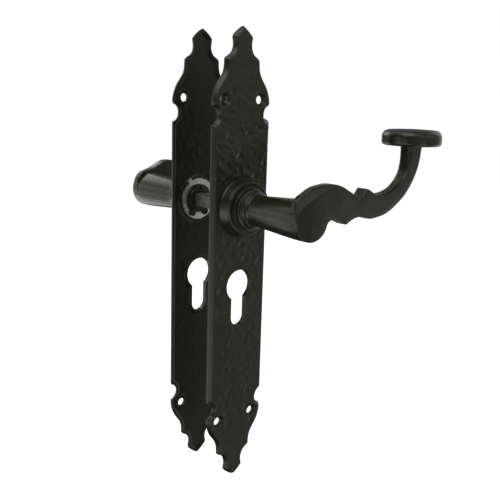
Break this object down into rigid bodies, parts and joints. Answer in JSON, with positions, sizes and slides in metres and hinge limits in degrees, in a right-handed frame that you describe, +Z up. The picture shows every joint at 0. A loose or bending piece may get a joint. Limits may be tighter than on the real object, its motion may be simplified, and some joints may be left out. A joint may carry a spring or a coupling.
{
  "type": "door lever handle set",
  "caption": "Pair of scrolled black iron door levers on scalloped hammered long backplates with euro-profile cut-outs, joined by a square spindle.",
  "frame": {"origin": "on the spindle axis, halfway through the 35 mm door leaf", "axes": "+Z up the backplates, +X towards the lever tips, -Y out of the door's outer face"},
  "size_m": [0.1269, 0.1858, 0.2758],
  "materials": {
    "black_iron": "satin black powder coat on cast and forged iron",
    "bright_steel": "bright",
    "black_nylon": "matte",
    "spring_steel": "oil-tempered",
    "zinc_plate": "zinc plated",
    "blackened_steel": "phosphate black"
  },
  "bodies": {
    "plates": {"outside_backplate": "black_iron", "outside_boss_collar": "black_iron", "outside_collar_pins": "bright_steel", "outside_nylon_bush": "black_nylon", "outside_tab_washer": "zinc_plate", "outside_return_spring": "spring_steel", "inside_backplate": "black_iron", "inside_boss_collar": "black_iron", "inside_collar_pins": "bright_steel", "inside_nylon_bush": "black_nylon", "inside_tab_washer": "zinc_plate", "inside_return_spring": "spring_steel"},
    "outside_lever": {"outside_lever_neck": "black_iron", "outside_lever_grip": "black_iron", "outside_lever_disc": "black_iron", "outside_circlip": "blackened_steel"},
    "inside_lever": {"inside_lever_neck": "black_iron", "inside_lever_grip": "black_iron", "inside_lever_disc": "black_iron", "inside_circlip": "blackened_steel"},
    "spindle_bar": {"spindle": "zinc_plate"}
  },
  "joints": [
    {"name": "outside_lever_turn", "type": "hinge", "parent": "plates", "child": "outside_lever", "pos_m": [0, -0.03, 0], "axis": [0, 1, 0], "range_deg": [0, 40], "stiffness_Nm_per_rad": 0.8, "springref_deg": -40.11, "deforming": ["outside_return_spring"]},
    {"name": "inside_lever_turn", "type": "hinge", "parent": "plates", "child": "inside_lever", "pos_m": [0, 0.03, 0], "axis": [0, 1, 0], "range_deg": [0, 40], "stiffness_Nm_per_rad": 0.8, "springref_deg": -40.11, "deforming": ["inside_return_spring"]},
    {"name": "spindle_turn", "type": "hinge", "parent": "plates", "child": "spindle_bar", "pos_m": [0, 0, 0], "axis": [0, 1, 0], "range_deg": [0, 40]}
  ],
  "couplings": [
    {"joint": "inside_lever_turn", "follows": "outside_lever_turn", "ratio": 1},
    {"joint": "spindle_turn", "follows": "outside_lever_turn", "ratio": 1}
  ]
}
